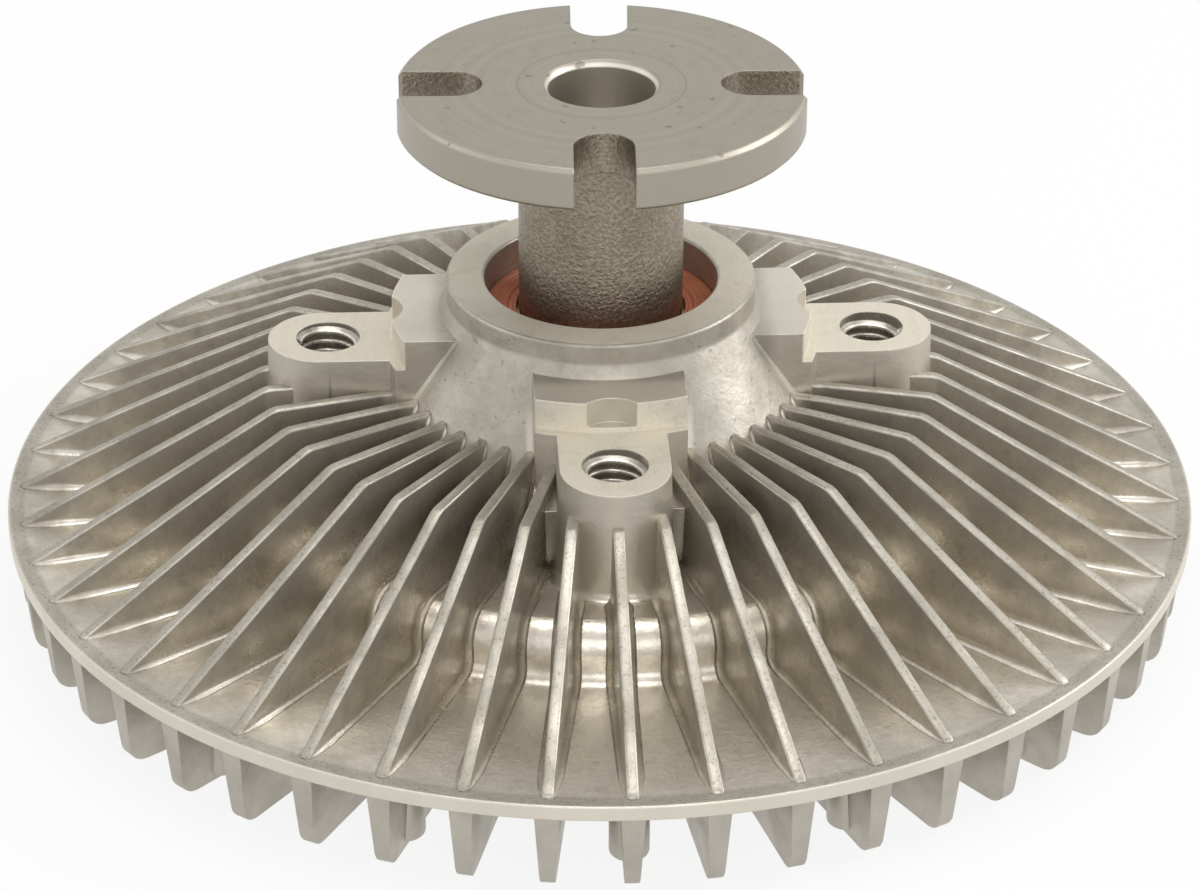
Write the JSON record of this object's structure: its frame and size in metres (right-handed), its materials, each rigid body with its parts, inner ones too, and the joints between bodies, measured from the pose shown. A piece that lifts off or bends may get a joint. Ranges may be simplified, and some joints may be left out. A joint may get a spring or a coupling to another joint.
{
  "type": "viscous fan clutch",
  "caption": "Engine cooling fan clutch: a finned aluminium housing on a flanged drive shaft, with a fluid-coupled rotor inside and a thermostatic valve coil on its front.",
  "frame": {"origin": "on the spin axis, in the plane of the front fins' tips, on which the part stands", "axes": "+Z along the spin axis, from the front fins up to the mounting flange; the four fan bosses lie on X and Y"},
  "size_m": [0.1817, 0.1816, 0.0809],
  "materials": {
    "shaft_iron": "machined flange, as-cast neck",
    "body_casting": "die-cast, satin",
    "seal_silicone": "matt",
    "bearing_steel": "ground",
    "cage_brass": "satin",
    "rotor_aluminium": "machined",
    "sheet_steel": "satin",
    "wiper_plastic": "matt",
    "ring_rubber": "matt",
    "bush_bronze": "satin",
    "coil_strip": "rolled strip"
  },
  "bodies": {
    "shaft": {"drive_shaft": "shaft_iron", "bearing_inner_race": "bearing_steel", "clutch_rotor": "rotor_aluminium"},
    "housing": {"rear_body": "body_casting", "front_cover": "body_casting", "cover_seal": "ring_rubber", "separator_plate": "sheet_steel", "wiper": "wiper_plastic", "bearing_outer_race": "bearing_steel", "rear_bearing_seal": "seal_silicone", "front_bearing_seal": "seal_silicone", "valve_bush": "bush_bronze", "bimetal_coil": "coil_strip", "coil_bracket": "sheet_steel", "bracket_screws": "sheet_steel", "fill_plug": "sheet_steel"},
    "ball_set": {"bearing_balls": "bearing_steel", "bearing_cages": "cage_brass"},
    "valve": {"valve_shaft": "sheet_steel", "valve_shaft_seal": "ring_rubber", "valve_clip": "sheet_steel", "valve_arm": "sheet_steel"}
  },
  "joints": [
    {"name": "shaft_spin", "type": "hinge", "parent": "housing", "child": "shaft", "pos_m": [0, 0, 0], "axis": [0, 0, 1], "continuous": true},
    {"name": "ball_spin", "type": "hinge", "parent": "housing", "child": "ball_set", "pos_m": [0, 0, 0], "axis": [0, 0, 1], "continuous": true},
    {"name": "valve_turn", "type": "hinge", "parent": "housing", "child": "valve", "pos_m": [0, 0, 0], "axis": [0, 0, 1], "range_deg": [0, 30], "deforming": ["bimetal_coil"]}
  ],
  "couplings": [
    {"joint": "ball_spin", "follows": "shaft_spin", "ratio": 0.38}
  ]
}
